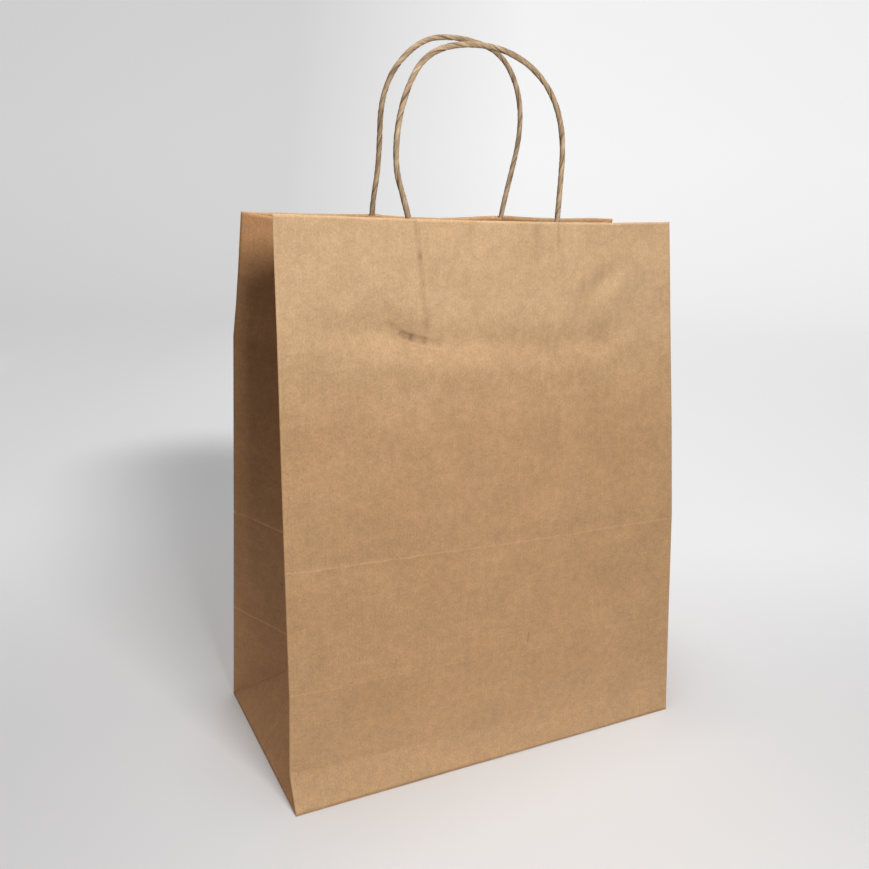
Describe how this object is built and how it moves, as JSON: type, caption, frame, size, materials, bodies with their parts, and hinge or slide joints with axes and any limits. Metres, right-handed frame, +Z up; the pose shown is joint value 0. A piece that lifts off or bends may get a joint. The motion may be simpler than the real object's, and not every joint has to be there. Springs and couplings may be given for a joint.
{
  "type": "gift bag",
  "caption": "Block-bottom paper gift bag that stands part open, with folded side gussets and twisted paper cord handles.",
  "frame": {"origin": "middle of the base, on the surface that the bag stands on", "axes": "+Z up, +X to the right along the front wall, front wall faces -Y"},
  "size_m": [0.26, 0.137, 0.4254],
  "materials": {
    "kraft_outer": "uncoated brown kraft paper, matt, faintly ribbed and fibrous",
    "kraft_gusset": "uncoated brown kraft paper, folded and creased",
    "kraft_base": "uncoated brown kraft paper, glued in layers",
    "kraft_patch": "uncoated brown kraft paper strip, glued over the cord ends",
    "twisted_cord": "tightly twisted brown paper cord"
  },
  "bodies": {
    "lower_bag": {"base_side_flap_left": "kraft_base", "base_side_flap_right": "kraft_base", "base_front_flap": "kraft_base", "base_rear_flap": "kraft_base", "front_wall_lower": "kraft_outer", "rear_wall_lower": "kraft_outer", "gusset_left_foot": "kraft_gusset", "gusset_left_front_lower": "kraft_gusset", "gusset_left_rear_lower": "kraft_gusset", "gusset_right_foot": "kraft_gusset", "gusset_right_front_lower": "kraft_gusset", "gusset_right_rear_lower": "kraft_gusset", "seam_lap_lower": "kraft_outer"},
    "front_upper": {"front_wall_upper": "kraft_outer", "front_patch_outer": "kraft_patch", "front_patch_inner": "kraft_patch", "front_cord_end_left": "twisted_cord", "front_cord_end_right": "twisted_cord", "gusset_left_front_upper": "kraft_gusset", "gusset_right_front_upper": "kraft_gusset"},
    "rear_upper": {"rear_wall_upper": "kraft_outer", "rear_patch_outer": "kraft_patch", "rear_patch_inner": "kraft_patch", "rear_cord_end_left": "twisted_cord", "rear_cord_end_right": "twisted_cord", "gusset_left_rear_upper": "kraft_gusset", "gusset_right_rear_upper": "kraft_gusset", "seam_lap_upper": "kraft_outer"},
    "front_handle": {"front_handle_loop": "twisted_cord"},
    "rear_handle": {"rear_handle_loop": "twisted_cord"}
  },
  "joints": [
    {"name": "mouth_front", "type": "hinge", "parent": "lower_bag", "child": "front_upper", "pos_m": [0, -0.0535, 0.137], "axis": [-1, 0, 0], "range_deg": [-4, 5], "deforming": ["gusset_left_front_upper", "gusset_right_front_upper"]},
    {"name": "mouth_rear", "type": "hinge", "parent": "lower_bag", "child": "rear_upper", "pos_m": [0, 0.0535, 0.137], "axis": [1, 0, 0], "range_deg": [-4, 5], "deforming": ["gusset_left_rear_upper", "gusset_right_rear_upper"]},
    {"name": "front_handle_swing", "type": "hinge", "parent": "front_upper", "child": "front_handle", "pos_m": [0, -0.03363, 0.32301], "axis": [1, 0, 0], "range_deg": [0, 95]},
    {"name": "rear_handle_swing", "type": "hinge", "parent": "rear_upper", "child": "rear_handle", "pos_m": [0, 0.02042, 0.32285], "axis": [-1, 0, 0], "range_deg": [0, 95]}
  ],
  "couplings": [
    {"joint": "mouth_rear", "follows": "mouth_front", "ratio": 1}
  ]
}
